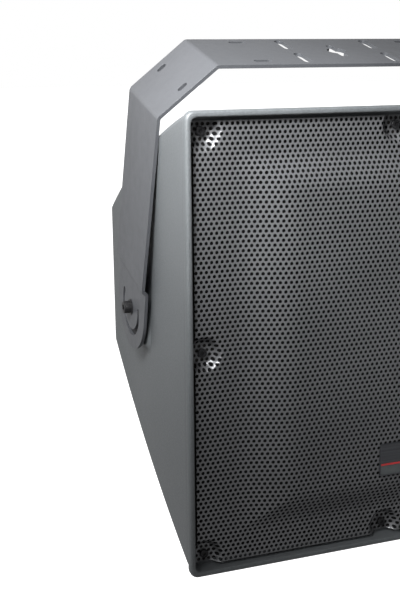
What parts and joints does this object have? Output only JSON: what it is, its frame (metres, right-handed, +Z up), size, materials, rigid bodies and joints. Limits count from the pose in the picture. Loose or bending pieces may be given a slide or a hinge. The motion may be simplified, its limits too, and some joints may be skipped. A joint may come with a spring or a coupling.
{
  "type": "installation loudspeaker",
  "caption": "Weatherproof coaxial loudspeaker: tapering moulded cabinet with a perforated steel grille, tilting in a steel U-bracket on side pivots.",
  "frame": {"origin": "middle of the outer face of the bracket's mounting plate", "axes": "+Z up, the grille faces -Y, +X to the right for someone facing the grille"},
  "size_m": [0.5112, 0.4899, 0.5968],
  "materials": {
    "cabinet_plastic": "satin moulded polyethylene with a fine pebble grain on the rim",
    "bracket_paint": "satin grey powder coat",
    "grille_paint": "dark grey powder coat, slightly glossy",
    "screen_cloth": "black woven cloth",
    "badge_pewter": "brushed pewter with a thin red stripe",
    "baffle_wood": "plywood, painted black in front",
    "black_steel": "black oxide",
    "rubber": "matte black",
    "zinc_steel": "zinc plated",
    "basket_paint": "grey-black painted casting",
    "cone_paper": "treated paper",
    "spider_cloth": "impregnated cloth",
    "copper": "enamelled copper wire",
    "ferrite": "matte ferrite",
    "black_plastic": "black moulded plastic",
    "circuit_board": "green solder mask",
    "capacitor_film": "yellow film wrap"
  },
  "bodies": {
    "bracket": {"u_bracket": "bracket_paint"},
    "cabinet": {"enclosure_shell": "cabinet_plastic", "rear_cover": "cabinet_plastic", "grille": "grille_paint", "grille_screen": "screen_cloth", "badge_plate": "badge_pewter", "baffle": "baffle_wood", "grille_screw_1": "black_steel", "grille_screw_2": "black_steel", "grille_screw_3": "black_steel", "grille_screw_4": "black_steel", "grille_screw_5": "black_steel", "grille_screw_6": "black_steel", "grille_screw_7": "black_steel", "grille_screw_8": "black_steel", "woofer_screw_1": "black_steel", "woofer_screw_2": "black_steel", "woofer_screw_3": "black_steel", "woofer_screw_4": "black_steel", "woofer_screw_5": "black_steel", "woofer_screw_6": "black_steel", "woofer_screw_7": "black_steel", "woofer_screw_8": "black_steel", "cover_screw_1": "black_steel", "cover_screw_2": "black_steel", "cover_screw_3": "black_steel", "cover_screw_4": "black_steel", "pivot_bolt_left": "black_steel", "pivot_bolt_right": "black_steel", "stop_pin_left": "black_steel", "stop_pin_right": "black_steel", "friction_pad_left": "rubber", "friction_pad_right": "rubber", "woofer_gasket": "rubber", "surround": "rubber", "cover_gasket": "rubber", "thread_plate_left": "zinc_steel", "thread_plate_right": "zinc_steel", "front_plate": "zinc_steel", "pole_plate": "zinc_steel", "transformer_core": "zinc_steel", "woofer_basket": "basket_paint", "compression_driver": "basket_paint", "spider": "spider_cloth", "woofer_inductor": "copper", "transformer_winding": "copper", "magnet": "ferrite", "hf_horn": "black_plastic", "input_panel": "black_plastic", "terminal_block": "black_plastic", "tap_switch": "black_plastic", "cable_gland": "black_plastic", "gland_nut": "black_plastic", "crossover_board": "circuit_board", "film_capacitor": "capacitor_film"},
    "cone_assembly": {"cone": "cone_paper", "voice_coil": "copper"},
    "tap_knob": {"tap_knob": "black_plastic"}
  },
  "joints": [
    {"name": "cabinet_tilt", "type": "hinge", "parent": "bracket", "child": "cabinet", "pos_m": [0, 0.08636, -0.32005], "axis": [1, 0, 0], "range_deg": [0, 210]},
    {"name": "cone_travel", "type": "slide", "parent": "cabinet", "child": "cone_assembly", "axis": [0, -1, 0], "range_m": [-0.005, 0.005], "stiffness_N_per_m": 4000, "deforming": ["surround", "spider"]},
    {"name": "tap_selector", "type": "hinge", "parent": "cabinet", "child": "tap_knob", "pos_m": [-0.028, 0.26706, -0.30805], "axis": [0, 1, 0], "range_deg": [0, 150]}
  ]
}
